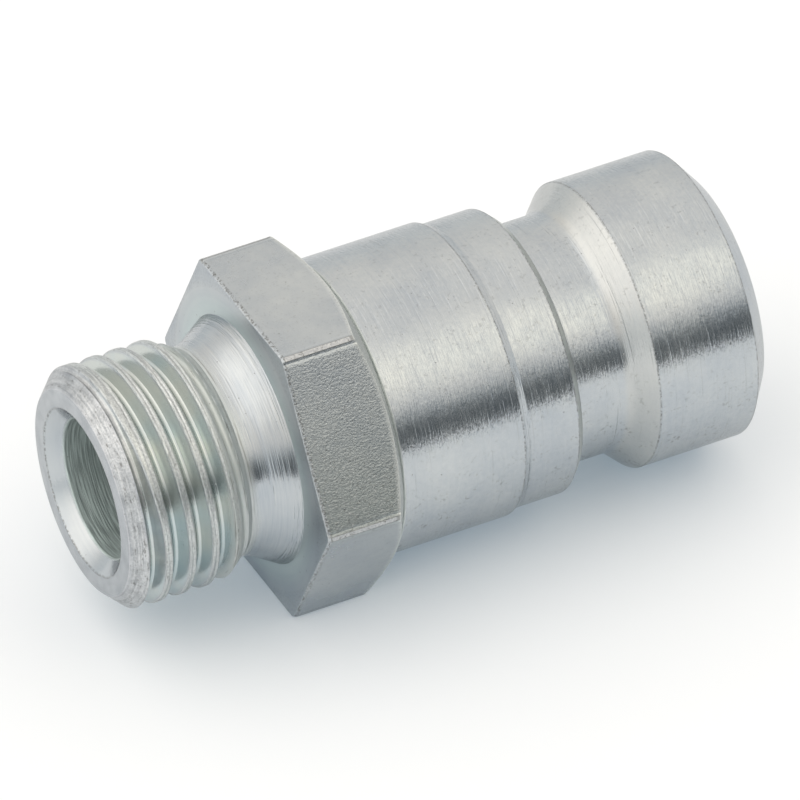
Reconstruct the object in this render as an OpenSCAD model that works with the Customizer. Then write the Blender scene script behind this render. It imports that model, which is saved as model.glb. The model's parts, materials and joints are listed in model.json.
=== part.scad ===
// Test probe: male half of a flush-face hydraulic test coupling, with a G 1/4 stud and a hexagon.
// Millimetres. The origin is on the axis, in the plane of the hexagon's shoulder face.
// +X runs from the port towards the nose, and +Z is square to one flat of the hexagon.

/* [Port stud] */
// Outside diameter of the port thread
thread_d = 13.157; // [10:0.001:20]
// Length of the thread at full diameter, from the end face
thread_len = 5.7; // [4:0.1:14]
// Lead-in chamfer on the thread's end, at 45 degrees
thread_chamfer = 0.95; // [0.2:0.01:1.5]
// Length of the run-out, where the thread falls to the relief
runout_len = 1.3; // [0.4:0.1:3]
// Diameter of the plain relief behind the thread
relief_d = 11.4; // [9:0.1:18]
// Length of the relief
relief_len = 0.68; // [0.4:0.01:4]
// Length of the cone that runs from the relief up to the shoulder
flare_len = 1.75; // [1:0.01:5]
// Diameter of the cone where it meets the shoulder
flare_d = 13.6; // [11:0.1:20]
// Radius of the hollow between the relief and the cone
flare_hollow = 2.2; // [0.5:0.1:4]
// Diameter of the bore through the adapter
port_bore_d = 7.6; // [4:0.1:9]
// Mouth diameter of the countersink in the thread's end face
countersink_d = 9.2; // [5:0.1:11]

/* [Hexagon] */
// Size across the flats
across_flats = 17; // [14:0.5:27]
// Length from the shoulder face to the seam with the sleeve
hex_len = 5.15; // [3:0.05:12]
// Length of the full corners, from the shoulder face
corner_len = 4.1; // [1.5:0.05:11]
// Slope of the chamfer behind the corners, from square to the axis
corner_slope = 30; // [15:1:40]

/* [Spigot inside the sleeve] */
// Diameter of the spigot that screws into the sleeve
spigot_d = 12; // [10:0.1:14]
// Length of the spigot behind the seam
spigot_len = 4.2; // [3:0.1:8]
// Depth of the groove for the joint's ring
joint_groove_depth = 0.8; // [0.5:0.05:1.2]
// Width of the groove for the joint's ring
joint_groove_w = 1.4; // [1:0.05:2.5]
// Distance from the seam to the groove
joint_groove_at = 0.7; // [0.3:0.05:2]
// Depth of the flare at the inner end of the bore
spigot_flare = 0.8; // [0.2:0.05:1.2]

/* [Sleeve outside] */
// Diameter of the sleeve behind the hexagon
sleeve_d = 16.06; // [14:0.01:22]
// Length of that diameter
sleeve_len = 7.05; // [4:0.01:12]
// Length of the small chamfer down to the collar
step_len = 0.46; // [0.1:0.01:1]
// Diameter of the collar in front of the step
collar_d = 15.58; // [13:0.01:21]
// Length of the collar, from the small chamfer to its edge
collar_len = 2.78; // [1.5:0.01:8]
// Chamfer on the collar's edge, at 45 degrees
collar_chamfer = 0.4; // [0.1:0.05:0.8]
// Diameter of the locking groove's floor
groove_d = 13.06; // [11.5:0.01:19]
// Length of the groove's floor
groove_len = 3.08; // [1.5:0.01:6]
// Radius of the hollow between the groove's floor and the nose's flank
flank_hollow = 1.3; // [0.2:0.1:2]
// Diameter of the nose
nose_d = 15.64; // [13:0.01:21]
// Length of the nose's full diameter
nose_len = 5.66; // [3:0.01:10]
// Length of the nose's end chamfer
nose_chamfer = 1.06; // [0.3:0.01:2]
// Diameter of the front face
face_d = 12.78; // [11.6:0.01:19]

/* [Sleeve inside] */
// Diameter of the valve chamber
chamber_d = 9.8; // [8.8:0.1:11]
// Diameter of the bore for the poppet's head
front_bore_d = 8; // [6:0.05:9]
// Length of that bore, from the front face to the seat
front_bore_len = 4.64; // [3.8:0.01:7]
// Depth of the seal's groove
seal_groove_depth = 1.22; // [0.8:0.01:1.6]
// Width of the seal's groove
seal_groove_w = 2; // [1.6:0.05:2.6]
// Distance from the front face to the seal's groove
seal_groove_at = 1.44; // [0.8:0.01:2]

/* [Poppet] */
// Radial clearance of the poppet's head in its bore
head_clear = 0.04; // [0.02:0.01:0.1]
// How far the flange that closes on the seat stands out past the front bore
flange_lip = 0.3; // [0.15:0.05:0.6]
// Length of the flange behind its seat
flange_len = 0.96; // [0.5:0.02:2]
// Gap between the flange and the seat, square to the seat
seat_gap = 0.1; // [0.02:0.01:0.3]
// Diameter of the stem
stem_d = 2.8; // [2:0.1:3.4]
// Travel from shut to fully open
travel = 3.5; // [1.5:0.1:4.5]
// Gap left at the end of the travel
travel_gap = 0.2; // [0.1:0.05:1]
// Length of the pilot that centres the spring behind the flange
pilot_len = 1.2; // [0.5:0.1:2]

/* [Spring guide] */
// Thickness of the guide's disc
guide_t = 1.2; // [0.8:0.05:2]
// Outside diameter of the guide's hub
hub_d = 3.8; // [3.6:0.05:5]
// Radial clearance of the stem in the hub
stem_clear = 0.05; // [0.02:0.01:0.1]
// Diameter of one flow hole
flow_hole_d = 1.5; // [0.8:0.05:1.8]
// Number of flow holes
flow_holes = 6; // [3:1:8]
// Radial clearance of the disc and the spigot in the sleeve
joint_clear = 0.03; // [0.01:0.01:0.1]

/* [Spring] */
// Wire diameter
wire_d = 0.56; // [0.4:0.02:0.8]
// Radial gap from the hub and the pilot to the coils
coil_gap = 0.17; // [0.1:0.01:0.4]
// Number of turns that carry the load
live_turns = 5; // [3:0.5:9]

/* [Rings] */
// Thickness of the backup ring
backup_t = 0.6; // [0.4:0.05:0.9]
// Gap left beside the soft rings in their grooves
ring_side_gap = 0.08; // [0.02:0.01:0.3]
// Clearance of a soft ring from what slides or turns in it
ring_clear = 0.01; // [0.01:0.01:0.05]

/* [Hidden] */
$fn = 96;
eps = 0.02;
stud_len = thread_len + runout_len + relief_len + flare_len;
relief_x = -flare_len - relief_len;
corner_r = across_flats / sqrt(3);
cone_fall = (hex_len - corner_len) / tan(corner_slope);
hex_back_r = max(corner_r - cone_fall, spigot_d / 2 + 0.4);
collar_x = hex_len + sleeve_len + step_len;
groove_x = collar_x + collar_len + collar_chamfer;
flank_x = groove_x + groove_len;
nose_x = flank_x + (nose_d - groove_d) / 2;
chamfer_x = nose_x + nose_len;
face_x = chamfer_x + nose_chamfer;
spigot_x = hex_len + spigot_len;
joint_floor_r = spigot_d / 2 - joint_groove_depth;
socket_r = spigot_d / 2 + joint_clear;
guide_x = spigot_x + guide_t;
seat_x = face_x - front_bore_len;
seat_back_x = seat_x - (chamber_d - front_bore_d) / 2;
seal_floor_r = front_bore_d / 2 + seal_groove_depth;
head_r = front_bore_d / 2 - head_clear;
flange_r = front_bore_d / 2 + flange_lip;
// The flange's cone is parallel to the seat's 45 degree cone and seat_gap away from it.
cone_x = seat_x - seat_gap * sqrt(2);
head_back_x = cone_x + front_bore_d / 2 - head_r;
flange_x = cone_x + front_bore_d / 2 - flange_r;
flange_back_x = flange_x - flange_len;
pilot_x = flange_back_x - pilot_len;
hub_x = pilot_x - travel - travel_gap;
hub_bore_r = stem_d / 2 + stem_clear;
coil_r = hub_d / 2 + coil_gap + wire_d / 2;
flow_r = (coil_r + wire_d / 2 + chamber_d / 2) / 2 - 0.2;
seal_front_x = face_x - seal_groove_at;
seal_back_x = seal_front_x - seal_groove_w;
joint_ring_x = hex_len + joint_groove_at;

// Points of the arc that rounds the corner b between the sides to a and c. The radius is cut down
// where a side is too short for it.
function eased(a, b, c, radius, n = 6) =
    let (u = (a - b) / norm(a - b), v = (c - b) / norm(c - b), half = acos(u * v) / 2,
         cut = min(radius / tan(half), 0.9 * norm(a - b), 0.9 * norm(c - b)),
         centre = b + (u + v) / norm(u + v) * cut / cos(half),
         p = b + u * cut - centre, q = b + v * cut - centre, sweep = 180 - 2 * half)
    [for (t = [0 : 1 / n : 1.001])
        centre + (p * sin((1 - t) * sweep) + q * sin(t * sweep)) / sin(sweep)];

// Turns a closed profile of [x, r] points about the X axis.
module turned(profile) {
    rotate([0, 90, 0]) rotate_extrude() polygon([for (p = profile) [p[1], p[0]]]);
}

// A straight bore or rod about the X axis, from x1 to x2.
module rod(x1, x2, r) {
    turned([[x1, 0], [x1, r], [x2, r], [x2, 0]]);
}

// Stud with its thread at full diameter, run-out, relief and cone, then the hexagon and the spigot.
module adapter() {
    thread_r = thread_d / 2;
    bore_r = port_bore_d / 2;
    mouth_r = countersink_d / 2;
    color([0.72, 0.72, 0.70]) difference() {
        union() {
            turned(concat([[-stud_len, 0], [-stud_len, thread_r - thread_chamfer],
                           [-stud_len + thread_chamfer, thread_r], [-stud_len + thread_len, thread_r],
                           [relief_x, relief_d / 2]],
                          eased([relief_x, relief_d / 2], [-flare_len, relief_d / 2],
                                [0, flare_d / 2], flare_hollow),
                          [[0, flare_d / 2], [eps, flare_d / 2], [eps, 0]]));
            intersection() {
                rotate([0, 90, 0]) rotate([0, 0, 30])
                    linear_extrude(height = hex_len) circle(r = corner_r, $fn = 6);
                turned([[0, 0], [0, corner_r + 1], [corner_len, corner_r + 1],
                        [corner_len, corner_r],
                        [corner_len + (corner_r - hex_back_r) * tan(corner_slope), hex_back_r],
                        [hex_len, hex_back_r], [hex_len, 0]]);
            }
            turned([[hex_len - eps, 0], [hex_len - eps, spigot_d / 2], [spigot_x - 0.3, spigot_d / 2],
                    [spigot_x, spigot_d / 2 - 0.3], [spigot_x, 0]]);
        }
        turned([[-stud_len - 1, 0], [-stud_len - 1, mouth_r + 1],
                [-stud_len + mouth_r - bore_r, bore_r], [spigot_x - spigot_flare, bore_r],
                [spigot_x + 0.1, bore_r + spigot_flare + 0.1], [spigot_x + 0.1, 0]]);
        turned([[joint_ring_x, joint_floor_r], [joint_ring_x, spigot_d / 2 + 1],
                [joint_ring_x + joint_groove_w, spigot_d / 2 + 1],
                [joint_ring_x + joint_groove_w, joint_floor_r]]);
    }
}

// Sleeve with the stepped outside, the locking groove, the nose, the chamber and the seat.
module probe_sleeve() {
    edge = 0.1;
    color([0.76, 0.76, 0.74]) difference() {
        turned(concat([[hex_len, 0], [hex_len, sleeve_d / 2 - edge], [hex_len + edge, sleeve_d / 2],
                       [hex_len + sleeve_len, sleeve_d / 2], [collar_x, collar_d / 2],
                       [collar_x + collar_len, collar_d / 2],
                       [groove_x, collar_d / 2 - collar_chamfer], [groove_x, groove_d / 2]],
                      eased([groove_x, groove_d / 2], [flank_x, groove_d / 2],
                            [nose_x, nose_d / 2], flank_hollow),
                      [[nose_x, nose_d / 2], [chamfer_x, nose_d / 2],
                       [face_x, face_d / 2], [face_x, 0]]));
        rod(hex_len - 1, guide_x, socket_r);
        turned([[guide_x - eps, 0], [guide_x - eps, chamber_d / 2], [seat_back_x, chamber_d / 2],
                [seat_x, front_bore_d / 2], [face_x + 1, front_bore_d / 2], [face_x + 1, 0]]);
        turned([[seal_back_x, front_bore_d / 2 - 0.5], [seal_back_x, seal_floor_r],
                [seal_front_x, seal_floor_r], [seal_front_x, front_bore_d / 2 - 0.5]]);
    }
}

// A soft ring squeezed in its groove: flat where it meets metal and rounded at the four corners.
module squeezed_ring(x1, x2, r1, r2) {
    c = min(x2 - x1, r2 - r1) * 0.28;
    turned([[x1 + c, r1], [x1 + c * 0.3, r1 + c * 0.3], [x1, r1 + c],
            [x1, r2 - c], [x1 + c * 0.3, r2 - c * 0.3], [x1 + c, r2],
            [x2 - c, r2], [x2 - c * 0.3, r2 - c * 0.3], [x2, r2 - c],
            [x2, r1 + c], [x2 - c * 0.3, r1 + c * 0.3], [x2 - c, r1]]);
}

// Rubber ring that seals the spigot in the sleeve.
module joint_o_ring() {
    color([0.09, 0.09, 0.10])
        squeezed_ring(joint_ring_x + ring_side_gap, joint_ring_x + joint_groove_w - ring_side_gap,
                      joint_floor_r + ring_clear, socket_r - ring_clear);
}

// Disc clamped between the spigot and the sleeve, with a long hub that guides the stem.
module spring_guide() {
    color([0.66, 0.66, 0.62]) difference() {
        union() {
            rod(spigot_x, guide_x, spigot_d / 2);
            turned([[guide_x - eps, 0], [guide_x - eps, hub_d / 2], [hub_x - 0.2, hub_d / 2],
                    [hub_x, hub_d / 2 - 0.2], [hub_x, 0]]);
        }
        rod(spigot_x - 1, hub_x + 1, hub_bore_r);
        for (i = [0 : flow_holes - 1])
            rotate([i * 360 / flow_holes, 0, 0]) translate([0, 0, flow_r])
                rod(spigot_x - 1, guide_x + 1, flow_hole_d / 2);
    }
}

// One closed turn at each end, live turns between them, and both ends ground flat.
module poppet_spring() {
    steps = 30;
    sides = 12;
    turns = live_turns + 2;
    count = ceil(turns * steps);
    x1 = guide_x;
    x2 = flange_back_x;
    lead = (x2 - x1 - 2 * wire_d) / live_turns;
    // Distance along the axis after t turns: a closed turn rises by one wire diameter.
    function rise(t) = t < 1 ? wire_d * t
        : t > turns - 1 ? x2 - x1 - wire_d * (turns - t) : wire_d + lead * (t - 1);
    pts = [for (i = [0 : count]) let (t = turns * i / count, a = 360 * t)
        for (j = [0 : sides - 1]) let (b = 360 * j / sides, r = coil_r + wire_d / 2 * cos(b))
            [x1 + rise(t) + wire_d / 2 * sin(b), r * cos(a), r * sin(a)]];
    walls = [for (i = [0 : count - 1], j = [0 : sides - 1])
        let (a = i * sides + j, b = i * sides + (j + 1) % sides)
            for (f = [[a, b, b + sides], [a, b + sides, a + sides]]) f];
    ends = [[for (j = [sides - 1 : -1 : 0]) j], [for (j = [0 : sides - 1]) count * sides + j]];
    color([0.55, 0.56, 0.58]) intersection() {
        polyhedron(points = pts, faces = concat(walls, ends), convexity = 12);
        translate([x1, -coil_r - wire_d, -coil_r - wire_d])
            cube([x2 - x1, 2 * (coil_r + wire_d), 2 * (coil_r + wire_d)]);
    }
}

// Flush head, flange with the 45 degree seat, spring pilot and stem, turned in one piece.
module poppet() {
    dish = 0.15;
    color([0.78, 0.78, 0.76])
        turned([[spigot_x, 0], [spigot_x, stem_d / 2 - 0.3], [spigot_x + 0.3, stem_d / 2],
                [pilot_x, stem_d / 2], [pilot_x, hub_d / 2], [flange_back_x, hub_d / 2],
                [flange_back_x, flange_r], [flange_x, flange_r], [head_back_x, head_r],
                [face_x - dish, head_r], [face_x, head_r - dish], [face_x, 0]]);
}

// Rubber ring in the nose that seals on the poppet's head.
module poppet_seal() {
    color([0.09, 0.09, 0.10])
        squeezed_ring(seal_back_x + ring_side_gap, seal_front_x - backup_t - ring_side_gap,
                      head_r + ring_clear, seal_floor_r - ring_clear);
}

// Hard plastic ring that keeps the seal from being pushed out of its groove.
module backup_ring() {
    color([0.93, 0.92, 0.88])
        turned([[seal_front_x - backup_t, front_bore_d / 2], [seal_front_x, front_bore_d / 2],
                [seal_front_x, seal_floor_r - ring_clear],
                [seal_front_x - backup_t, seal_floor_r - ring_clear]]);
}

adapter();
probe_sleeve();
joint_o_ring();
spring_guide();
poppet_spring();
poppet();
poppet_seal();
backup_ring();
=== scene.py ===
import json
import bmesh
import bpy
import numpy as np
from mathutils import Matrix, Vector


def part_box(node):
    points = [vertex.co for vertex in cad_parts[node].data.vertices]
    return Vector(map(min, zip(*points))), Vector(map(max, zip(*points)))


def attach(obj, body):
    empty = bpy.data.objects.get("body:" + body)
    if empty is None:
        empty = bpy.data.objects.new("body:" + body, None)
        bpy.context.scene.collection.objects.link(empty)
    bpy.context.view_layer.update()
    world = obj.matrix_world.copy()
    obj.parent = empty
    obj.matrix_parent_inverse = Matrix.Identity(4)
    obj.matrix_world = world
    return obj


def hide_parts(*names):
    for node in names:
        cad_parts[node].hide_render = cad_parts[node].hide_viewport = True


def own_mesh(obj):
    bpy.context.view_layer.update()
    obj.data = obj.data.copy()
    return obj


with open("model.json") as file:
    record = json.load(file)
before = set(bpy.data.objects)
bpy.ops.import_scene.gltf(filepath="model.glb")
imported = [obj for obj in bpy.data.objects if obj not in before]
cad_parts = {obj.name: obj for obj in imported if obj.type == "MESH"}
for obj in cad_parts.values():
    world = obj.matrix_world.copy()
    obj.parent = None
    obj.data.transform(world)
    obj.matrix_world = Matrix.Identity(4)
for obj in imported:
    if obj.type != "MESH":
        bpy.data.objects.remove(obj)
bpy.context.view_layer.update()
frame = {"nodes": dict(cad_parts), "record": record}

# Adapter core: the turned part of the adapter, cut on a lathe from hexagon steel bar and zinc plated.
# It has the rolled port thread with its lead-in chamfer and run-out, the relief, the cone up to the
# hexagon, and the spigot that screws into the sleeve. The oil bore runs through all of it.

MM = 0.001
MOUNTS = {mount["name"]: mount for mount in frame["record"]["mounts"]}


def corners(node_name):
    """Lowest and highest corner of a CAD node, in millimetres."""
    return [np.array(corner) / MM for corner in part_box(node_name)]


adapter_low, adapter_high = corners("adapter")
END = adapter_low[0]
SPIGOT_X = adapter_high[0]
FLAT_R = adapter_high[2]
THREAD_R = MOUNTS["port_thread"]["dims"]["r_mm"]
BORE_R = MOUNTS["port_bore"]["dims"]["r_mm"]
SEAM = corners("probe_sleeve")[0][0]
JOINT_RING = corners("joint_o_ring")
THREAD_LEN = 5.7
RUN_OUT = 1.3
LEAD_IN = 0.95
END_R = THREAD_R - LEAD_IN
RELIEF_R = 5.7
RELIEF_X = END + THREAD_LEN + RUN_OUT
CONE_X = -1.75
CONE_R = 6.8
CONE_HOLLOW_R = 2.2
CONE_SUNK = 0.3
MOUTH_R = 4.6
SPIGOT_R = 6.0
SPIGOT_CHAMFER = 0.3
SPIGOT_FLARE = 0.8
JOINT_GROOVE_DEEP = 0.8
JOINT_RING_GAP = 0.08
PITCH = 1.337
CREST_AT = 1.2
THREAD_DEPTH = 0.57 * PITCH
FLANK_ANGLE = np.radians(27.5)
ROOT_ARC = 0.2
CREST_EASE = 0.035
CREST_DIP = 0.035
CREST_DIP_HALF = 0.07
START_FROM = -0.72
START_FULL = -0.5
START_LEAST = 0.34
GRID_STEP = 0.034
GRID_LEAST_R = MOUTH_R + 0.3
ROUND_STEPS = 320
NEARLY_STRAIGHT = 1.54
CREST_MARK_DEEP = 0.05
ROOT_MARK_DEEP = 0.1
MARK_EASE = 0.12


def rounded(points, radius, steps=4):
    """Closed profile with its corners eased: each is a quadratic curve that starts and ends on the two
    sides, where an arc of that radius would. A point is (x, r) or (x, r, radius of this corner)."""
    places = np.array([point[:2] for point in points], float)
    out = []
    for i, point in enumerate(points):
        here, before, after = places[i], places[i - 1], places[(i + 1) % len(places)]
        ease = point[2] if len(point) > 2 else radius
        back, on = before - here, after - here
        back_len, on_len = np.linalg.norm(back), np.linalg.norm(on)
        back, on = back / back_len, on / on_len
        half = np.arccos(np.clip(back @ on, -1, 1)) / 2
        if ease <= 0 or half > NEARLY_STRAIGHT:
            out.append(here[None])
            continue
        cut = min(ease / np.tan(half), 0.9 * back_len, 0.9 * on_len)
        t = np.linspace(0, 1, (steps if ease < 0.5 else 4 * steps) + 1)[:, None]
        out.append((1 - t) ** 2 * (here + back * cut) + 2 * t * (1 - t) * here + t ** 2 * (here + on * cut))
    return np.concatenate(out)


def filled(profile, spacing, low, high, least_r=0.0):
    """The same profile with points no further apart than the spacing where x lies between low and
    high and r is no less than least_r, for a surface that changes round the axis."""
    out = []
    for p, q in zip(profile, np.roll(profile, -1, 0)):
        inside = low <= (p[0] + q[0]) / 2 <= high and (p[1] + q[1]) / 2 >= least_r
        count = max(1, int(np.ceil(np.hypot(*(q - p)) / spacing))) if inside else 1
        out.append(p + (q - p) * np.linspace(0, 1, count, endpoint=False)[:, None])
    return np.concatenate(out)


def surface(name, grid, rows_close, bends=0.6, marks=None):
    """Closed mesh from a grid of points in millimetres. Its columns close on themselves. Its rows do
    too, or else the first and the last row are each one point, which is merged there. The sign of its
    volume tells which way its faces point, and edges sharper than the angle of bends stay sharp."""
    rows, cols = grid.shape[:2]
    i = np.arange(rows if rows_close else rows - 1)[:, None]
    j = np.arange(cols)[None, :]
    i2, j2 = (i + 1) % rows, (j + 1) % cols
    quads = np.stack([i * cols + j, i2 * cols + j, i2 * cols + j2, i * cols + j2], -1).reshape(-1, 4)
    points = grid.reshape(-1, 3) * MM
    a, b, c, d = (points[quads[:, k]] for k in range(4))
    volume = np.einsum("ij,ij->i", a, np.cross(b, c) + np.cross(c, d)).sum()
    if volume < 0:
        quads = quads[:, ::-1]
    mesh = bpy.data.meshes.new(name)
    mesh.from_pydata(points.tolist(), [], quads.tolist())
    for key, values in (marks or {}).items():
        mark = mesh.attributes.new(key, "FLOAT", "POINT")
        mark.data.foreach_set("value", values.reshape(-1).astype(np.float32))
    mesh.polygons.foreach_set("use_smooth", np.ones(len(quads), bool))
    if not rows_close:
        work = bmesh.new()
        work.from_mesh(mesh)
        bmesh.ops.remove_doubles(work, verts=work.verts, dist=1e-8)
        work.to_mesh(mesh)
        work.free()
    mesh.update()
    mesh.set_sharp_from_angle(angle=bends)
    made = bpy.data.objects.new(name, mesh)
    bpy.context.scene.collection.objects.link(made)
    return made


def around(count):
    """Evenly spaced angles of one full turn, as one row. Round the axis they run from +Y to +Z."""
    return np.linspace(0, 2 * np.pi, count, endpoint=False)[None, :]


def turned(profile, angles):
    """Grid of points (x, r cos a, r sin a) for a profile carried round the X axis."""
    x, r = profile[:, 0, None], profile[:, 1, None]
    return np.stack([x + 0 * angles, r * np.cos(angles), r * np.sin(angles)], -1)


def thread_radius(x, angles):
    """Radius of the rolled thread, and how deep its groove is there. With e the distance from the
    nearest root along the axis, the metal rises from the root as a circular arc and then as a straight
    flank at 27.5 degrees, up to the crest's land, where it eases over. A fine dip runs along the middle
    of the land. Counted in turns along the helix, the groove's share of its full depth is START_LEAST
    up to START_FROM and grows to 1 at START_FULL."""
    turn = (x - END - CREST_AT) / PITCH - angles / (2 * np.pi)
    along = np.floor(turn) + angles / (2 * np.pi)
    start = np.clip((along - START_FROM) / (START_FULL - START_FROM), 0, 1)
    share = START_LEAST + (1 - START_LEAST) * start ** 2 * (3 - 2 * start)
    from_crest = np.abs(turn - np.round(turn)) * PITCH
    e = PITCH / 2 - from_crest
    reach = ROOT_ARC * np.cos(FLANK_ANGLE)
    arc = ROOT_ARC - np.sqrt(np.maximum(ROOT_ARC ** 2 - np.minimum(e, reach) ** 2, 0))
    rise = arc + np.maximum(e - reach, 0) / np.tan(FLANK_ANGLE)
    left = THREAD_DEPTH * share - rise
    depth = (left + np.sqrt(left ** 2 + CREST_EASE ** 2)) / 2
    dip = CREST_DIP * np.clip(1 - (from_crest / CREST_DIP_HALF) ** 2, 0, 1)
    return THREAD_R - depth - dip, depth


def core_grid():
    """Grid of the whole core: one closed profile, with the thread cut into its outside. The marks say
    where the crests' lands and the roots are."""
    groove_x, groove_end = JOINT_RING[0][0] - JOINT_RING_GAP, JOINT_RING[1][0] + JOINT_RING_GAP
    groove_r = SPIGOT_R - JOINT_GROOVE_DEEP
    outside = [(END, END_R, 0.08), (END + LEAD_IN, THREAD_R, 0.12), (END + THREAD_LEN, THREAD_R, 0.15),
               (RELIEF_X, RELIEF_R, 0.1), (CONE_X, RELIEF_R, CONE_HOLLOW_R), (0.0, CONE_R, 0.0),
               (CONE_SUNK, CONE_R, 0.0), (CONE_SUNK + 0.1, SPIGOT_R, 0.0), (groove_x, SPIGOT_R),
               (groove_x, groove_r), (groove_end, groove_r), (groove_end, SPIGOT_R),
               (SPIGOT_X - SPIGOT_CHAMFER, SPIGOT_R), (SPIGOT_X, SPIGOT_R - SPIGOT_CHAMFER)]
    inside = [(SPIGOT_X, BORE_R + SPIGOT_FLARE), (SPIGOT_X - SPIGOT_FLARE, BORE_R),
              (END + MOUTH_R - BORE_R, BORE_R, 0.06), (END, MOUTH_R, 0.07)]
    eased = rounded(outside + inside, radius=0.03)
    profile = filled(eased, spacing=GRID_STEP, low=END + 0.01, high=RELIEF_X, least_r=GRID_LEAST_R)
    angles = around(ROUND_STEPS)
    grid = turned(profile, angles)
    x, r = profile[:, 0, None], profile[:, 1, None]
    cut, depth = thread_radius(x, angles)
    threaded = (r > GRID_LEAST_R) & (x < RELIEF_X + 0.05)
    radius = np.where(threaded, np.minimum(r, cut), r + 0 * angles)
    grid[..., 1], grid[..., 2] = radius * np.cos(angles), radius * np.sin(angles)
    in_thread = threaded & (r > RELIEF_R + 0.05)
    crest = np.where(in_thread, np.clip(1 - (depth - CREST_MARK_DEEP) / MARK_EASE, 0, 1), 0)
    root = np.where(in_thread, np.clip((r - cut - ROOT_MARK_DEEP) / MARK_EASE, 0, 1), 0)
    return grid, {"crest": crest, "root": root}


class Value:
    """A socket of a node. Python's operators on it add Math nodes to the same tree."""

    def __init__(self, tree, socket):
        self.tree = tree
        self.socket = socket

    def maths(self, operation, *others):
        """A Math node of this value and up to one more."""
        return node(self.tree, "ShaderNodeMath", {"operation": operation}, dict(enumerate((self,) + others)))

    def __add__(self, other):
        return self.maths("ADD", other)

    def __sub__(self, other):
        return self.maths("SUBTRACT", other)

    def __rsub__(self, other):
        return self * -1.0 + other

    def __mul__(self, other):
        return self.maths("MULTIPLY", other)

    def __pow__(self, other):
        return self.maths("POWER", other)

    __radd__ = __add__
    __rmul__ = __mul__

    def size(self):
        """The value without its sign."""
        return self.maths("ABSOLUTE")

    def greater(self, other):
        """The greater of this value and another one."""
        return self.maths("MAXIMUM", other)

    def between(self, low, high):
        """0 below low, 1 above high and smooth between them, or the reverse where low is the greater."""
        return node(self.tree, "ShaderNodeMapRange", {"interpolation_type": "SMOOTHSTEP"},
                    {"Value": self, "From Min": low, "From Max": high})


def node(tree, kind, settings=None, values=None, output=0):
    """Adds one node: its settings first, then the values or links of its sockets. A socket is named by
    its name or, where several share one, by its number."""
    made = tree.nodes.new(kind)
    for key, setting in (settings or {}).items():
        setattr(made, key, setting)
    for key, value in (values or {}).items():
        if isinstance(value, Value):
            tree.links.new(value.socket, made.inputs[key])
        else:
            made.inputs[key].default_value = value
    return Value(tree, made.outputs[output])


def mixed(factor, first, second):
    """A colour between two colours."""
    return node(factor.tree, "ShaderNodeMix", {"data_type": "RGBA"}, {0: factor, 6: first, 7: second}, 2)


def vector(x, y, z):
    """A vector from three values."""
    return node(x.tree, "ShaderNodeCombineXYZ", {}, {0: x, 1: y, 2: z})


def parts(place):
    """The three parts of a vector."""
    return [node(place.tree, "ShaderNodeSeparateXYZ", {}, {0: place}, k) for k in range(3)]


def noise(place, per_unit=1.0, detail=2.0, rough=0.5):
    """Noise from 0 to 1 at a place, with so many features to the unit."""
    return node(place.tree, "ShaderNodeTexNoise", {},
                {"Vector": place, "Scale": per_unit, "Detail": detail, "Roughness": rough})


def swing(place, per_unit=1.0, detail=2.0, rough=0.5):
    """The same noise about zero and mostly within -1 to 1, for heights."""
    return (noise(place, per_unit, detail, rough) - 0.5) * 4.0


def specks(place, per_mm, share, size):
    """1 in scattered specks and 0 elsewhere: each cell has one, and only a share of them is kept."""
    cell = node(place.tree, "ShaderNodeTexVoronoi", {}, {"Vector": place, "Scale": per_mm})
    pick = node(place.tree, "ShaderNodeTexVoronoi", {}, {"Vector": place, "Scale": per_mm}, "Color")
    number = node(place.tree, "ShaderNodeSeparateColor", {}, {0: pick})
    return cell.between(size * per_mm, size * per_mm * 0.4) * number.between(1 - share, 1.02 - share)


ZINC_COOL = (0.425, 0.465, 0.505, 1)
ZINC_WARM = (0.563, 0.591, 0.599, 1)
EDGE_TINT = (0.8, 0.8, 0.8, 1)


class Finish:
    """A finish in object space: the place in millimetres, the distance along and from the axis, and
    the shader."""

    def __init__(self, name):
        self.material = bpy.data.materials.new(name)
        self.material.use_nodes = True
        self.tree = self.material.node_tree
        self.shader = self.tree.nodes["Principled BSDF"]
        place = node(self.tree, "ShaderNodeTexCoord", {}, {}, "Object")
        self.mm = node(self.tree, "ShaderNodeVectorMath", {"operation": "SCALE"}, {0: place, "Scale": 1 / MM})
        self.x, self.y, self.z = parts(self.mm)
        self.r = (self.y * self.y + self.z * self.z) ** 0.5

    def mark(self, name):
        """A value that the mesh carries at its points."""
        return node(self.tree, "ShaderNodeAttribute", {"attribute_name": name}, {}, "Fac")

    def streaks(self, wide, long, lean=0.45):
        """Place for marks that run round the axis, so wide across and so long round it. The distance
        from the axis leans on the place along it, so that cones and faces have them too."""
        return vector((self.x + self.r * lean) * (1 / wide), self.y * (1 / long), self.z * (1 / long))

    def line(self, at, half):
        """1 at a place along the axis, and 0 from half a line's width away."""
        return (self.x - at).size().between(half, half * 0.3)

    def zinc(self, lines):
        """The plating's colour: paler and darker in faint clouds and along the tool's fine lines."""
        cloud = noise(self.mm, 0.3, 3.0) - 0.5
        return mixed(cloud * 1.6 + lines * 0.5 + 0.5, ZINC_COOL, ZINC_WARM)

    def dressed(self, colour, rough, microns, **others):
        """Gives the shader its colour, its roughness, a bump of the height in microns and any others of
        its inputs by name, and returns the material."""
        bump = node(self.tree, "ShaderNodeBump", {}, {"Height": microns, "Distance": 1e-6, "Strength": 1.0})
        self.shader.inputs["Specular Tint"].default_value = EDGE_TINT
        others.update({"Base Color": colour, "Roughness": rough, "Normal": bump})
        for key, value in others.items():
            if isinstance(value, Value):
                self.tree.links.new(value.socket, self.shader.inputs[key])
            else:
                self.shader.inputs[key].default_value = value
        return self.material


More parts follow.
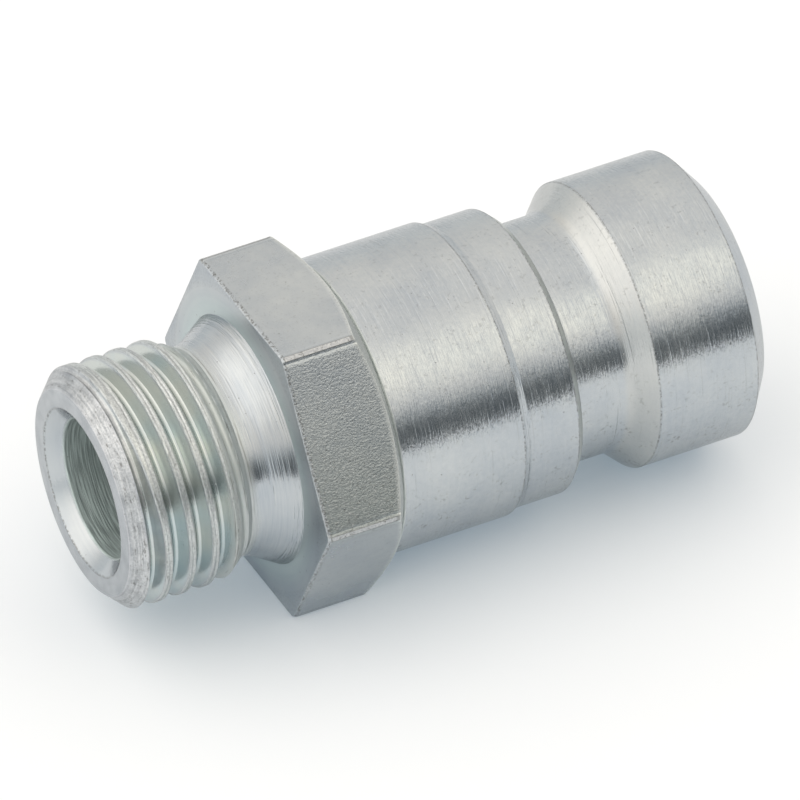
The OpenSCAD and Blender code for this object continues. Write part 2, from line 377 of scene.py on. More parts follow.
SPECK = (0.13, 0.13, 0.12, 1)
FILM_BLUE = (0.55, 0.64, 0.655, 1)
FILM_GREEN = (0.64, 0.675, 0.645, 1)
CREST_DARK = (0.37, 0.39, 0.39, 1)
CREST_PALE = (0.76, 0.79, 0.775, 1)
LEAD_IN_DARK = (0.30, 0.315, 0.335, 1)
LEAD_IN_PALE = (0.66, 0.675, 0.69, 1)
FACE_DARK = (0.38, 0.405, 0.43, 1)
FACE_PALE = (0.545, 0.57, 0.595, 1)
RIM_PAINTED_HIGHLIGHT = (0.80, 0.80, 0.82, 1)
RUN_OUT_PAINTED_LIGHT = (0.62, 0.66, 0.65, 1)
BORE_DARK = (0.28, 0.33, 0.33, 1)
BORE_PALE = (0.58, 0.67, 0.66, 1)


def plated_core():
    """Zinc on the turned core: rings from the lathe, pale tinted thread roots, painted bluer and darker
    towards the bottom as painted shade, rough worn crests, a torn and pitted lead-in with a painted
    highlight along the end face's outer edge, a scuffed end face with a nicked edge at its countersink,
    torn rings at the thread's run-out, which is painted paler there as painted light, and a dull bore."""
    f = Finish("zinc_on_turned_core")
    crest, root = f.mark("crest"), f.mark("root")
    face = f.x.between(END + 0.06, END + 0.02) * f.r.between(MOUTH_R + 0.02, MOUTH_R + 0.15)
    lip = (f.r - MOUTH_R).size().between(0.09, 0.03) * f.x.between(END + 0.16, END + 0.08)
    lead_in = f.x.between(END + LEAD_IN + 0.25, END + LEAD_IN) * f.r.between(END_R - 0.06, END_R + 0.02)
    rim = (f.r - END_R).size().between(0.06, 0.02) * lead_in
    pits = specks(f.mm, 4.5, 0.45, 0.05) * (f.r - END_R - 0.12).size().between(0.22, 0.05) * lead_in
    bore = f.r.between(BORE_R + 0.12, BORE_R + 0.02)
    mouth = f.r.between(BORE_R + 0.02, BORE_R + 0.12) * f.r.between(MOUTH_R + 0.05, MOUTH_R)
    outside = f.r.between(MOUTH_R, MOUTH_R + 0.2)
    run_out = f.x.between(END + THREAD_LEN - 0.3, END + THREAD_LEN + 0.1) * outside
    run_out = run_out * f.x.between(RELIEF_X + 0.6, RELIEF_X)
    flare = f.x.between(RELIEF_X + 0.2, RELIEF_X + 0.8) * outside
    rings = swing(f.streaks(0.12, 30.0, 0.2), 1.0, 3.0, 0.65)
    arcs = swing(f.streaks(0.09, 1.8, 0.2), 1.0, 2.0)
    lines = rings * 0.5 + arcs * 0.7
    grit = swing(f.mm, 9.0, 2.0, 0.6)
    patches = swing(f.mm, 1.3, 2.0)
    cloud = noise(f.mm, 0.35, 3.0)
    dark = specks(f.mm, 2.6, 0.2, 0.045)
    worn = noise(f.streaks(0.1, 0.4, 0.2), 1.0, 3.0, 0.6).between(0.56, 0.7)
    nicks = noise(f.mm, 7.0, 3.0, 0.6).between(0.4, 0.58) * lip
    torn = lines.between(0.2, 0.8) * run_out
    colour = f.zinc((rings * 0.5 + arcs * 0.5) * (1 - 0.7 * mouth))
    # Painted shade: the roots' film tint wanders at random, and its z term paints the lower roots bluer and
    # darker.
    film_and_low_shade = (noise(f.mm, 0.5, 1.0) - 0.5) * 2.5 + f.z * 0.08 + 0.45
    colour = mixed(root * 0.85, colour, mixed(film_and_low_shade, FILM_BLUE, FILM_GREEN))
    grain = (grit * 0.7 + arcs * 0.7).between(-1.1, 1.1)
    colour = mixed(crest * 0.75, colour, mixed(grain, CREST_DARK, CREST_PALE))
    torn_grain = (lines * 0.8 + grit * 0.5 + patches * 0.6).between(-1.3, 1.3)
    colour = mixed(lead_in * 0.8, colour, mixed(torn_grain, LEAD_IN_DARK, LEAD_IN_PALE))
    scuffed = (arcs * 0.5 + grit * 0.3 + patches * 0.7).between(-1.2, 1.2)
    colour = mixed(face * 0.7, colour, mixed(scuffed, FACE_DARK, FACE_PALE))
    # Painted highlight: a thin pale line along the end face's outer edge, over its real burr of grit.
    colour = mixed(rim * 0.3, colour, RIM_PAINTED_HIGHLIGHT)
    # Painted light: the run-out is painted paler, to lift the dark reflection that it shows.
    colour = mixed(run_out * 0.6, colour, RUN_OUT_PAINTED_LIGHT)
    colour = mixed(bore, colour, mixed(lines.between(-0.6, 0.6), BORE_DARK, BORE_PALE))
    marred = (dark * 0.5).greater(worn * (0.4 * crest + 0.25 * lead_in)).greater(torn * 0.6)
    marred = marred.greater(pits * 0.6).greater(nicks * 0.6)
    colour = mixed(marred, colour, SPECK)
    rough = (0.15 + 0.05 * cloud + 0.04 * root + 0.14 * crest.greater(lead_in) + 0.08 * face + 0.25 * bore
             + 0.2 * run_out + 0.2 * dark)
    rings_high = 4.0 - 3.6 * root - 3.6 * mouth + 6.0 * run_out + 1.0 * bore + 2.5 * flare
    arcs_high = 3.0 - 2.7 * root - 2.7 * mouth + 2.5 * bore + 2.0 * lead_in + 2.5 * face + 4.0 * flare
    grit_high = 0.5 + 5.0 * crest + 1.4 * lead_in + 1.5 * bore + 3.0 * rim
    microns = rings * rings_high + arcs * arcs_high + grit * grit_high - 4.0 * dark
    return f.dressed(colour, rough, microns, Metallic=1 - 0.55 * bore - 0.08 * root - 0.35 * run_out)


grid, marks = core_grid()
core = surface("adapter_core", grid, rows_close=True, marks=marks)
core.data.materials.append(plated_core())
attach(core, "housing")
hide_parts("adapter")

# Adapter hexagon: the 17 mm spanner flats, which are the rolled skin of the bar itself, so they keep
# its short ridges and its blunt corners, each with a shallow dip beside it. The lathe faced the front
# square and chamfered the back at 30 degrees. It is one with the core.

CORNER_R = FLAT_R * 2 / np.sqrt(3)
CORNER_LEN = 4.1
CHAMFER_SLOPE = np.tan(np.radians(30))
FACE_EDGE = 0.2
FACE_EDGE_DROP = 0.1
BLUNT_HALF = 0.14
DIP_WIDE = 0.31
DIP_DEEP = 0.03
HUB_R = 5.2
FACE_FROM_R = HUB_R + 1.3
SIDE_SHORT = 0.04
CORNER_MARK_EASE = 0.05


def hexagon_grid():
    """Grid of the hexagon: rows follow a closed profile and columns go round, closer together near the
    corners. The outer radius is the flat's distance over the cosine of the angle from its middle, cut
    off at the blunt corner, which is a narrow flat of its own."""
    close = np.linspace(0.9, 1, 11)
    side = np.concatenate([-close[::-1], np.linspace(-0.9, 0.9, 19)[1:-1], close])[:-1]
    off = np.tile(np.arctan(side * np.tan(np.pi / 6)), 6)[None, :]
    angles = off + np.repeat(np.radians(np.arange(30, 390, 60)), len(side))[None, :]
    half_flat = FLAT_R * np.tan(np.pi / 6)
    from_corner = half_flat - np.abs(FLAT_R * np.tan(off))
    in_dip = np.clip(1 - np.abs(from_corner - BLUNT_HALF - DIP_WIDE / 2) / (DIP_WIDE / 2), 0, 1)
    flat = (FLAT_R - DIP_DEEP * in_dip) / np.cos(off)
    blunt = (CORNER_R - BLUNT_HALF / np.tan(np.pi / 3)) / np.cos(np.pi / 6 - np.abs(off))
    outer = np.minimum(flat, blunt)
    edge_r = outer - FACE_EDGE_DROP
    back = CORNER_LEN + (CORNER_R - outer) * CHAMFER_SLOPE
    seam_r = CORNER_R - (SEAM - CORNER_LEN) / CHAMFER_SLOPE
    t = np.linspace(0, 1, 9)[:, None]
    turn = np.linspace(0, np.pi / 2, 6)[:, None]
    across = np.linspace(0, 1, 21)[1:-1, None]
    face = (0 * t * outer, FACE_FROM_R + t * (edge_r - FACE_FROM_R))
    edge = (FACE_EDGE * (1 - np.cos(turn)) + 0 * outer, edge_r + FACE_EDGE_DROP * np.sin(turn))
    sides = (FACE_EDGE + (back - FACE_EDGE - SIDE_SHORT) * across, outer + 0 * across)
    chamfer = (back + (SEAM - back) * t, outer + (seam_r - outer) * t)
    inner = (np.array([[SEAM], [SEAM / 2], [0.0]]) + 0 * outer, HUB_R + 0 * outer + np.zeros((3, 1)))
    x, r = (np.concatenate([part[k] for part in (face, edge, sides, chamfer, inner)]) for k in range(2))
    rows = np.cumsum([len(part[0]) for part in (face, edge, sides)])
    on_flat = np.zeros_like(x)
    on_flat[rows[1] - 1:rows[2]] = 1
    corner = on_flat * np.clip(1 - (from_corner - BLUNT_HALF) / CORNER_MARK_EASE, 0, 1)
    return np.stack([x, r * np.cos(angles), r * np.sin(angles)], -1), {"flat": on_flat, "corner": corner}


GRAIN_DARK = (0.42, 0.43, 0.45, 1)
GRAIN_PALE = (0.63, 0.64, 0.64, 1)
SKIN_DULL_AND_SHADE = (0.30, 0.335, 0.33, 1)
BY_CONE_PAINTED_LIGHT = (0.60, 0.69, 0.68, 1)
CHAMFER_PALE = (0.70, 0.73, 0.71, 1)


def plated_bar():
    """Zinc on the rolled bar: short ridges along the axis and grain on the flats, more of them on the
    upper side flats, which are painted darker and duller towards the side corners as painted shade over
    the skin's own dull tone, coarse grain on the blunt corners, a torn edge at the front and the back,
    and a smooth turned face and chamfer, painted paler and greener beside the cone as painted light."""
    f = Finish("zinc_on_rolled_bar")
    flat, corner = f.mark("flat"), f.mark("corner")
    ridges = swing(vector(f.x * 4.6, f.y * 8.2, f.z * 8.2), 1.0, 3.0, 0.65)
    grit = swing(f.mm, 10.0, 2.0, 0.6)
    rings = swing(f.streaks(0.2, 30.0), 1.0, 2.0)
    blotch = swing(f.mm, 1.6, 3.0, 0.6)
    cloud = noise(f.mm, 0.3, 3.0)
    dark = specks(f.mm, 2.2, 0.25, 0.07)
    upper = f.z.between(FLAT_R - 0.05, FLAT_R - 0.4) * f.z.between(-0.6, 0.2)
    torn = f.line(FACE_EDGE * 0.6, 0.15) * f.r.between(FLAT_R - 0.3, FLAT_R - 0.15)
    past = f.x + f.r * CHAMFER_SLOPE - (CORNER_LEN + CORNER_R * CHAMFER_SLOPE)
    torn = torn.greater(past.size().between(0.2, 0.06) * flat)
    chips = noise(f.mm, 7.5, 3.0, 0.6).between(0.47, 0.6) * torn
    # Painted shade: 1 on the upper side flats near the side corners, fading to 0 at their top corners; it
    # also places pocks and pale glints.
    dull = f.z.between(8.5, -1.0) * f.z.between(-1.0, 0.5) * flat
    pocks = noise(f.mm, 6.2, 3.0, 0.65).between(0.56, 0.68) * (0.15 * flat + 0.42 * dull + 0.5 * corner)
    glints = noise(f.mm, 8.0, 2.0, 0.6).between(0.56, 0.68) * dull
    outline = (corner * (1 - corner) * 4.0).between(0.1, 0.8)
    bevel = f.x.between(CORNER_LEN - 0.4, CORNER_LEN) * (1 - flat)
    colour = f.zinc(0.5 * rings * (1 - flat) + flat * (0.8 * upper * grit + 0.1 * grit + 0.4 * blotch))
    # All flats take a little of the rolled skin's own dull tone, and painted shade darkens the upper side
    # flats towards the side corners.
    colour = mixed(flat * 0.1 + dull * 0.75, colour, SKIN_DULL_AND_SHADE)
    faced = f.x.between(FACE_EDGE * 0.6, FACE_EDGE * 0.3)
    by_cone = faced * f.r.between(8.4, 7.0)
    # Painted light: the face is painted paler and greener beside the cone, to soften the cone's dark
    # reflection in it.
    colour = mixed(by_cone * 0.55, colour, BY_CONE_PAINTED_LIGHT)
    colour = mixed(bevel * 0.7, colour, CHAMFER_PALE)
    colour = mixed(glints * 0.5, colour, GRAIN_PALE)
    colour = mixed(corner * 0.8, colour, mixed(grit.between(-0.9, 0.9), GRAIN_DARK, GRAIN_PALE))
    spots = (dark * 0.4).greater(chips * 0.7)
    colour = mixed(spots.greater(pocks).greater(outline * 0.5), colour, SPECK)
    rough = (0.17 + 0.06 * cloud + 0.08 * flat + 0.12 * corner + 0.25 * bevel + 0.1 * faced + 0.15 * by_cone
             + 0.15 * chips)
    skin = flat * (0.35 + 0.65 * upper)
    microns = (1.2 * rings * (1 - flat) + skin * (5.4 * ridges + 6.2 * grit) + 6.0 * corner * grit
               + 5.0 * torn * grit - 3.0 * dark)
    return f.dressed(colour, rough, microns, Metallic=1.0)


grid, marks = hexagon_grid()
hexagon = surface("adapter_hexagon", grid, rows_close=True, bends=0.3, marks=marks)
hexagon.data.materials.append(plated_bar())
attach(hexagon, "housing")
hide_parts("adapter")

# Joint ring: a nitrile rubber ring, moulded, squeezed in the spigot's groove against the sleeve. It
# keeps the form that the frame gives it.

RUBBER_DARK = (0.022, 0.022, 0.024, 1)
RUBBER_PALE = (0.045, 0.045, 0.047, 1)


def matt_rubber():
    """Black rubber with a fine bloom and the mould's slight unevenness."""
    f = Finish("nitrile_rubber")
    bloom = noise(f.mm, 2.5, 4.0)
    colour = mixed(bloom.between(0.4, 0.7), RUBBER_DARK, RUBBER_PALE)
    return f.dressed(colour, 0.5 + 0.2 * bloom, 2.0 * swing(f.mm, 6.0))


def repaint(node_name, material):
    """Gives a CAD node a finish of its own."""
    mesh = frame["nodes"][node_name].data
    mesh.materials.clear()
    mesh.materials.append(material)


rubber = matt_rubber()
repaint("joint_o_ring", rubber)

# Spring guide: a disc with flow holes and a long hub, turned from free-cutting steel and left bare. It
# is clamped between the spigot and the sleeve's shoulder, and it keeps the form of the frame.

STEEL_DARK = (0.42, 0.42, 0.41, 1)
STEEL_PALE = (0.50, 0.49, 0.47, 1)


def bare_turned_steel():
    """Bare steel, darker than the plating, with plain rings from the tool."""
    f = Finish("bare_turned_steel")
    rings = swing(f.streaks(0.12, 25.0), 1.0, 3.0)
    cloud = noise(f.mm, 0.6, 3.0)
    colour = mixed(cloud.between(0.35, 0.65), STEEL_DARK, STEEL_PALE)
    return f.dressed(colour, 0.26 + 0.1 * cloud, 1.2 * rings, Metallic=1.0)


repaint("spring_guide", bare_turned_steel())

# Probe sleeve: turned from steel bar and zinc plated, and screwed on to the spigot up to the hexagon.
# Outside it has two diameters, the groove for the coupling's balls and the nose. Inside it has the
# socket, the valve chamber, the 45 degree seat and the seal's groove.

sleeve_high = corners("probe_sleeve")[1]
seal_high = corners("poppet_seal")[1]
SLEEVE_R = sleeve_high[2]
FACE_X = sleeve_high[0]
STEP_X = SEAM + 7.05
COLLAR_X = STEP_X + 0.46
COLLAR_R = 7.79
COLLAR_END = COLLAR_X + 2.78
COLLAR_CHAMFER = 0.4
GROOVE_X = COLLAR_END + COLLAR_CHAMFER
GROOVE_R = 6.53
FLANK_X = GROOVE_X + 3.08
NOSE_R = MOUNTS["probe_nose"]["dims"]["r_mm"]
NOSE_X = FLANK_X + NOSE_R - GROOVE_R
CHAMFER_X = NOSE_X + MOUNTS["probe_nose"]["dims"]["length_mm"]
FACE_R = 6.39
SEAM_CHAMFER = 0.1
SOCKET_R = SPIGOT_R + 0.03
CHAMBER_R = 4.9
FRONT_BORE_R = 4.0
SEAT_X = FACE_X - 4.64
SEAL_FLOOR_R = seal_high[2] + 0.01
SEAL_FRONT_X = FACE_X - 1.44
SEAL_BACK_X = SEAL_FRONT_X - 2.0
GUIDE_X = SPIGOT_X + 1.2
BEVEL_PALE = (0.62, 0.66, 0.63, 1)
FLANK_PAINTED_HIGHLIGHT = (0.575, 0.575, 0.545, 1)


def sleeve_profile():
    """Closed profile of the sleeve: outside towards the nose, then back through the inside."""
    outside = [(SEAM, SLEEVE_R - SEAM_CHAMFER, 0.02), (SEAM + SEAM_CHAMFER, SLEEVE_R, 0.05),
               (STEP_X, SLEEVE_R, 0.05), (COLLAR_X, COLLAR_R, 0.08), (COLLAR_END, COLLAR_R, 0.04),
               (GROOVE_X, COLLAR_R - COLLAR_CHAMFER, 0.05), (GROOVE_X, GROOVE_R, 0.12),
               (FLANK_X, GROOVE_R, 1.3), (NOSE_X, NOSE_R, 0.06), (CHAMFER_X, NOSE_R, 0.07),
               (FACE_X, FACE_R, 0.06)]
    inside = [(FACE_X, FRONT_BORE_R, 0.08), (SEAL_FRONT_X, FRONT_BORE_R), (SEAL_FRONT_X, SEAL_FLOOR_R),
              (SEAL_BACK_X, SEAL_FLOOR_R), (SEAL_BACK_X, FRONT_BORE_R), (SEAT_X, FRONT_BORE_R),
              (SEAT_X - CHAMBER_R + FRONT_BORE_R, CHAMBER_R), (GUIDE_X, CHAMBER_R),
              (GUIDE_X, SOCKET_R), (SEAM, SOCKET_R)]
    return filled(rounded(outside + inside, radius=0.02, steps=5), spacing=1.0, low=SEAM, high=FACE_X)


def plated_sleeve():
    """Zinc on the turned sleeve: fine arcs, a few deeper scores and a little grain from the tool, dull
    clouds, scattered specks and stains, with stains and mottle painted heavier towards the bottom as
    painted shade, dull chamfers at the seam and the collar, a smoother flank before the nose, painted
    paler and warmer as a painted highlight, and a torn burr along each sharp edge."""
    f = Finish("zinc_on_sleeve")
    arcs = swing(f.streaks(0.1, 2.2), 1.0, 2.0, 0.6)
    grains = swing(f.streaks(0.1, 0.3), 1.0, 2.0, 0.6)
    rings = swing(f.streaks(0.15, 7.0), 1.0, 3.0, 0.6)
    scores = noise(f.streaks(0.09, 6.0), 1.0, 1.0).between(0.68, 0.76)
    cloud = noise(f.mm, 0.3, 3.0)
    dull = noise(f.mm, 1.4, 3.0)
    # Painted shade: 1 towards the bottom, where stains and mottle are laid on heavier, darkening and mottling
    # the lower side.
    below = f.z.between(1.0, -4.0)
    mottle = swing(f.mm, 3.6, 3.0, 0.6)
    dark = specks(f.mm, 1.9, 0.4, 0.05)
    stain = noise(f.mm, 4.5, 3.0, 0.6).between(0.56, 0.67) * noise(f.mm, 0.9, 2.0).between(0.42, 0.6)
    outside = f.r.between(GROOVE_R - 0.6, GROOVE_R - 0.3)
    burr = f.line(STEP_X, 0.07) + f.line(COLLAR_END, 0.07) + f.line(NOSE_X, 0.07) + f.line(CHAMFER_X, 0.08)
    burr = burr * outside
    chips = noise(f.mm, 8.5, 3.0, 0.6).between(0.35, 0.65) * burr
    bevel = f.x.between(COLLAR_END, COLLAR_END + 0.06) * f.x.between(GROOVE_X + 0.05, GROOVE_X) * outside
    bevel = bevel.greater(f.x.between(SEAM + SEAM_CHAMFER + 0.08, SEAM + SEAM_CHAMFER))
    flank = f.x.between(FLANK_X - 0.3, FLANK_X + 0.1) * f.x.between(NOSE_X + 0.05, NOSE_X - 0.1)
    zinc = f.zinc(0.25 * arcs + 0.15 * grains + (0.35 + 0.25 * below) * mottle)
    zinc = mixed(bevel * 0.55, zinc, BEVEL_PALE)
    # Painted highlight: the flank is painted paler and warmer, for the warm highlight that it shows.
    zinc = mixed(flank * 0.5, zinc, FLANK_PAINTED_HIGHLIGHT)
    spots = (dark * 0.5).greater(stain * (0.2 + 0.34 * below)).greater(scores * 0.14)
    colour = mixed(spots.greater(chips * 0.6), zinc, SPECK)
    rough = (0.14 + 0.06 * cloud + 0.07 * dull + 0.04 * arcs + 0.03 * grains + 0.2 * bevel + 0.15 * dark
             + 0.15 * chips)
    microns = ((8.5 * arcs + 3.2 * grains) * (1 - 0.75 * flank) + 4.5 * rings - 5.0 * scores - 4.0 * dark
               - 1.2 * stain + 4.0 * burr * grains)
    return f.dressed(colour, rough, microns, Metallic=1.0)


sleeve = surface("probe_sleeve_body", turned(sleeve_profile(), around(ROUND_STEPS)), rows_close=True)
sleeve.data.materials.append(plated_sleeve())
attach(sleeve, "housing")
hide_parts("probe_sleeve")

# Poppet spring: drawn spring wire, wound with a closed turn at each end and ground flat there. It sits
# round the guide's hub and pushes on the poppet's flange.

spring_low, spring_high = corners("poppet_spring")
WIRE_R = 0.28
COIL_R = spring_high[2] - WIRE_R
LIVE_TURNS = 5
TURN_STEPS = 48
WIRE_STEPS = 16
WIRE_DARK = (0.30, 0.31, 0.33, 1)
WIRE_PALE = (0.40, 0.40, 0.41, 1)


def spring_grid():
    """Grid of the wire: rows follow the helix and columns go round the wire. The place along the axis
    rises by one wire in the first and the last turn and evenly between them, and what stands past
    the ground ends is pressed flat."""
    turns = LIVE_TURNS + 2
    t = np.linspace(0, turns, turns * TURN_STEPS + 1)[:, None]
    x1, x2 = spring_low[0], spring_high[0]
    rise = np.interp(t, [0, 1, turns - 1, turns], [x1, x1 + 2 * WIRE_R, x2 - 2 * WIRE_R, x2])
    b = around(WIRE_STEPS)
    wire = np.full_like(t, WIRE_R)
    wire[[0, -1]] = 0
    r = COIL_R + wire * np.cos(b)
    x = np.clip(rise + wire * np.sin(b), x1, x2)
    return np.stack([x, r * np.cos(2 * np.pi * t), r * np.sin(2 * np.pi * t)], -1)


def spring_wire():
    """Drawn wire, oiled and dark, with faint lines from the die."""
    f = Finish("spring_wire")
    cloud = noise(f.mm, 1.2, 3.0)
    colour = mixed(cloud.between(0.35, 0.65), WIRE_DARK, WIRE_PALE)
    return f.dressed(colour, 0.28 + 0.1 * cloud, 1.0 * swing(f.mm, 8.0, 2.0), Metallic=1.0)


spring = surface("spring_coil", spring_grid(), rows_close=False)
spring.data.materials.append(spring_wire())
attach(spring, "housing")
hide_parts("poppet_spring")
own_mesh(spring)

# Poppet: turned and ground from one piece of steel. Its head is flush with the nose, its flange closes
# on the sleeve's seat, its pilot centres the spring and its stem runs in the guide's hub.

poppet_low, poppet_high = corners("poppet")
HEAD_GAP = 0.04
SEAT_GAP = 0.1
HEAD_R = FRONT_BORE_R - HEAD_GAP
FLANGE_R = poppet_high[2]
HEAD_BACK_X = SEAT_X - SEAT_GAP * np.sqrt(2) + HEAD_GAP
FLANGE_X = HEAD_BACK_X + HEAD_R - FLANGE_R
FLANGE_BACK_X = spring_high[0]
PILOT_X = FLANGE_BACK_X - 1.2
PILOT_R = 1.9
STEM_R = 1.4
STEM_CHAMFER = 0.3
HEAD_EDGE = 0.15
HEAD_MIDDLE_R = 1.2


def poppet_grid():
    """Grid of the poppet: its profile from the stem's tip to the middle of the head, with the corners
    eased, carried round the axis. Both ends of the profile lie on the axis."""
    x1, x2 = poppet_low[0], poppet_high[0]
    points = [(x1, 0, 0), (x1, STEM_R - STEM_CHAMFER), (x1 + STEM_CHAMFER, STEM_R), (PILOT_X, STEM_R),
              (PILOT_X, PILOT_R), (FLANGE_BACK_X, PILOT_R), (FLANGE_BACK_X, FLANGE_R), (FLANGE_X, FLANGE_R),
              (HEAD_BACK_X, HEAD_R), (x2 - HEAD_EDGE, HEAD_R), (x2, HEAD_R - HEAD_EDGE, 0.08),
              (x2, HEAD_MIDDLE_R, 0), (x2, 0, 0)]
    return turned(rounded(points, radius=0.03), around(ROUND_STEPS // 2))


def ground_steel():
    """Ground steel, as pale as the plating, with fine rings about the axis and a few wiped marks."""
    f = Finish("ground_steel")
    rings = swing(f.streaks(0.07, 30.0, 1.0), 1.0, 2.0)
    wiped = swing(f.streaks(0.12, 1.5, 1.0), 1.0, 2.0)
    cloud = noise(f.mm, 0.7, 3.0)
    dark = specks(f.mm, 2.4, 0.2, 0.05)
    colour = mixed(dark * 0.5, f.zinc(0.5 * rings + 0.3 * wiped), SPECK)
    return f.dressed(colour, 0.16 + 0.08 * cloud, 0.7 * rings + 0.4 * wiped - 2.0 * dark, Metallic=1.0)


poppet = surface("poppet_valve", poppet_grid(), rows_close=False)
poppet.data.materials.append(ground_steel())
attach(poppet, "valve")
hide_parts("poppet")

# Nose seal: a rubber ring and the hard white plastic ring beside it, both snapped into the sleeve's
# groove, where they seal on the poppet's head. They keep the form that the frame gives them.

PLASTIC_DARK = (0.80, 0.79, 0.74, 1)
PLASTIC_PALE = (0.86, 0.85, 0.80, 1)


def white_plastic():
    """Pale plastic, cut from tube, with faint rings and a waxy surface."""
    f = Finish("white_plastic")
    cloud = noise(f.mm, 1.0, 3.0)
    colour = mixed(cloud.between(0.35, 0.65), PLASTIC_DARK, PLASTIC_PALE)
    return f.dressed(colour, 0.42 + 0.1 * cloud, 1.5 * swing(f.streaks(0.15, 20.0)))


repaint("poppet_seal", rubber)
repaint("backup_ring", white_plastic())

# Studio: the white table that the fitting lies on, a white tent with a broad soft light at the stud's
# end and a narrower one at the front, and a dark gap under that. The camera looks down past the stud.

TABLE_R = 0.12
TABLE_PAINT = (0.82, 0.815, 0.82, 1)
TABLE_GLOW = (0.09, 0.13, 0.16, 1)
SHOWN_RAYS = ("Is Camera Ray", "Is Glossy Ray", "Is Transmission Ray")
TENT_LEVEL = 0.88
TENT_RISE = 0.17
SIDE_LEVEL = 0.58
SIDE_WAY = (165, 43)
SIDE_SPREAD = (10, 54)
FRONT_LEVEL = 0.56
FRONT_LEAN = (0.81, 0.59)
GAP_AZIMUTH = np.radians(-80)
GAP_SHARE = 0.84
SKY_LOW = (0.985, 1.0, 0.995, 1)
SKY_HIGH = (1.03, 0.985, 0.93, 1)
FRONT_TINT = (1.08, 1.02, 0.89, 1)
GAP_TINT = (0.93, 1.0, 1.02, 1)
PLAIN_WHITE = (1, 1, 1, 1)


def table_disc(radius, height, count=128):
    """A flat disc: points (radius cos a, radius sin a, height) joined by one face."""
    angles = np.linspace(0, 2 * np.pi, count, endpoint=False)
    rim = np.stack([radius * np.cos(angles), radius * np.sin(angles), height + 0 * angles], -1)
    mesh = bpy.data.meshes.new("table")
    mesh.from_pydata(rim.tolist(), [], [tuple(range(count))])
    made = bpy.data.objects.new("table", mesh)
    bpy.context.scene.collection.objects.link(made)
    return made


def shown_rays(tree):
    """1 for what the camera sees straight, mirrored in metal or through glass."""
    seen = [node(tree, "ShaderNodeLightPath", {}, {}, ray) for ray in SHOWN_RAYS]
    return seen[0].greater(seen[1]).greater(seen[2])


def white_table():
    """Matt white that also glows a little where it is seen, so that it shows white and keeps shadows."""
    material = bpy.data.materials.new("white_table")
    material.use_nodes = True
    tree = material.node_tree
    tree.nodes.clear()
    matt = node(tree, "ShaderNodeBsdfDiffuse", {}, {"Color": TABLE_PAINT})
    glow = node(tree, "ShaderNodeEmission", {}, {"Color": TABLE_GLOW, "Strength": shown_rays(tree)})
    both = node(tree, "ShaderNodeAddShader", {}, {0: matt, 1: glow})
    tree.links.new(both.socket, tree.nodes.new("ShaderNodeOutputMaterial").inputs[0])
    return material


def soft_light(way, azimuth, elevation, inner, outer):
    """1 within the inner angle of a direction and 0 past the outer one, all in degrees: the dot product
    of the two directions, compared with the angles' cosines."""
    a, e, near, far = np.radians([azimuth, elevation, inner, outer])
    aim = (np.cos(e) * np.cos(a), np.cos(e) * np.sin(a), np.sin(e))
    along = node(way.tree, "ShaderNodeVectorMath", {"operation": "DOT_PRODUCT"}, {0: way, 1: aim}, "Value")
    return along.between(np.cos(far), np.cos(near))


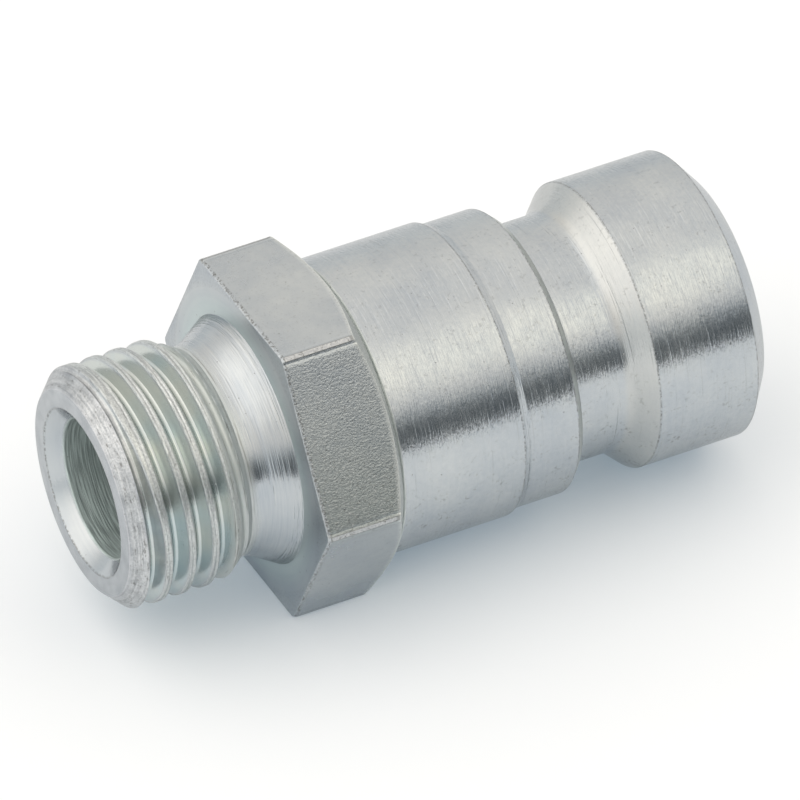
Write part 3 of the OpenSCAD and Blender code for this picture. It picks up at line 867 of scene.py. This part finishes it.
def white_tent():
    """The tent's level by direction: pale all over and a little more so at the top, a round soft light
    at the side and a strip at the front, and a dark gap low down at the front. The camera itself sees
    plain white."""
    world = bpy.data.worlds.new("tent")
    world.use_nodes = True
    tree = world.node_tree
    tree.nodes.clear()
    way = node(tree, "ShaderNodeTexCoord", {}, {}, "Generated")
    east, north, height = parts(way)
    side = soft_light(way, *SIDE_WAY, *SIDE_SPREAD)
    across = (east - 0.33).size().between(0.36, 0.06)
    along = (north * FRONT_LEAN[0] + height * FRONT_LEAN[1]).size().between(0.5, 0.08)
    front = across * along * height.between(0.1, 0.3)
    facing = east * np.cos(GAP_AZIMUTH) + north * np.sin(GAP_AZIMUTH)
    gap = facing.between(0.4, 0.95) * height.between(0.48, 0.14)
    level = TENT_LEVEL + TENT_RISE * height + SIDE_LEVEL * side + FRONT_LEVEL * front
    level = level * (1 - GAP_SHARE * gap)
    straight = node(tree, "ShaderNodeLightPath", {}, {}, "Is Camera Ray")
    sky_tint = mixed(height.between(0.0, 0.45), SKY_LOW, SKY_HIGH)
    tint = mixed(gap, mixed(front, sky_tint, FRONT_TINT), GAP_TINT)
    colour = mixed(straight, tint, PLAIN_WHITE)
    strength = level * (1 - straight) + straight
    sky = node(tree, "ShaderNodeBackground", {}, {"Color": colour, "Strength": strength})
    tree.links.new(sky.socket, tree.nodes.new("ShaderNodeOutputWorld").inputs[0])
    return world


table = table_disc(TABLE_R, -FLAT_R * MM)
table.data.materials.append(white_table())
bpy.context.scene.world = white_tent()

# The camera looks at this angle from the axis, turned this far down about it, and is then rolled. Its
# place is counted from the middle of the stud's end: over to the right, up, and back along the view.

VIEW_FROM_AXIS = np.radians(70.51175)
VIEW_DOWN = np.radians(40.569)
VIEW_ROLL = np.radians(18.19576)
VIEW_DISTANCE = 952.655
VIEW_OVER = 16.4323
VIEW_UP = 4.7997
VIEW_LENS = 829.44
VIEW_SENSOR = 36
forward = np.array([np.cos(VIEW_FROM_AXIS), np.sin(VIEW_FROM_AXIS) * np.cos(VIEW_DOWN),
                    -np.sin(VIEW_FROM_AXIS) * np.sin(VIEW_DOWN)])
level_right = np.array([1.0, 0.0, 0.0]) - forward[0] * forward
level_right = level_right / np.linalg.norm(level_right)
level_up = np.cross(-forward, level_right)
right = np.cos(VIEW_ROLL) * level_right - np.sin(VIEW_ROLL) * level_up
up = np.sin(VIEW_ROLL) * level_right + np.cos(VIEW_ROLL) * level_up
stand = np.array([END, 0, 0]) + VIEW_OVER * right + VIEW_UP * up - VIEW_DISTANCE * forward
camera = bpy.data.objects.new("camera", bpy.data.cameras.new("camera"))
bpy.context.scene.collection.objects.link(camera)
camera.data.lens = VIEW_LENS
camera.data.sensor_width = VIEW_SENSOR
pose = np.eye(4)
pose[:3] = np.stack([right, up, -forward, stand * MM], -1)
camera.matrix_world = Matrix(pose.tolist())
bpy.context.scene.camera = camera
bpy.context.scene.view_settings.view_transform = "Standard"
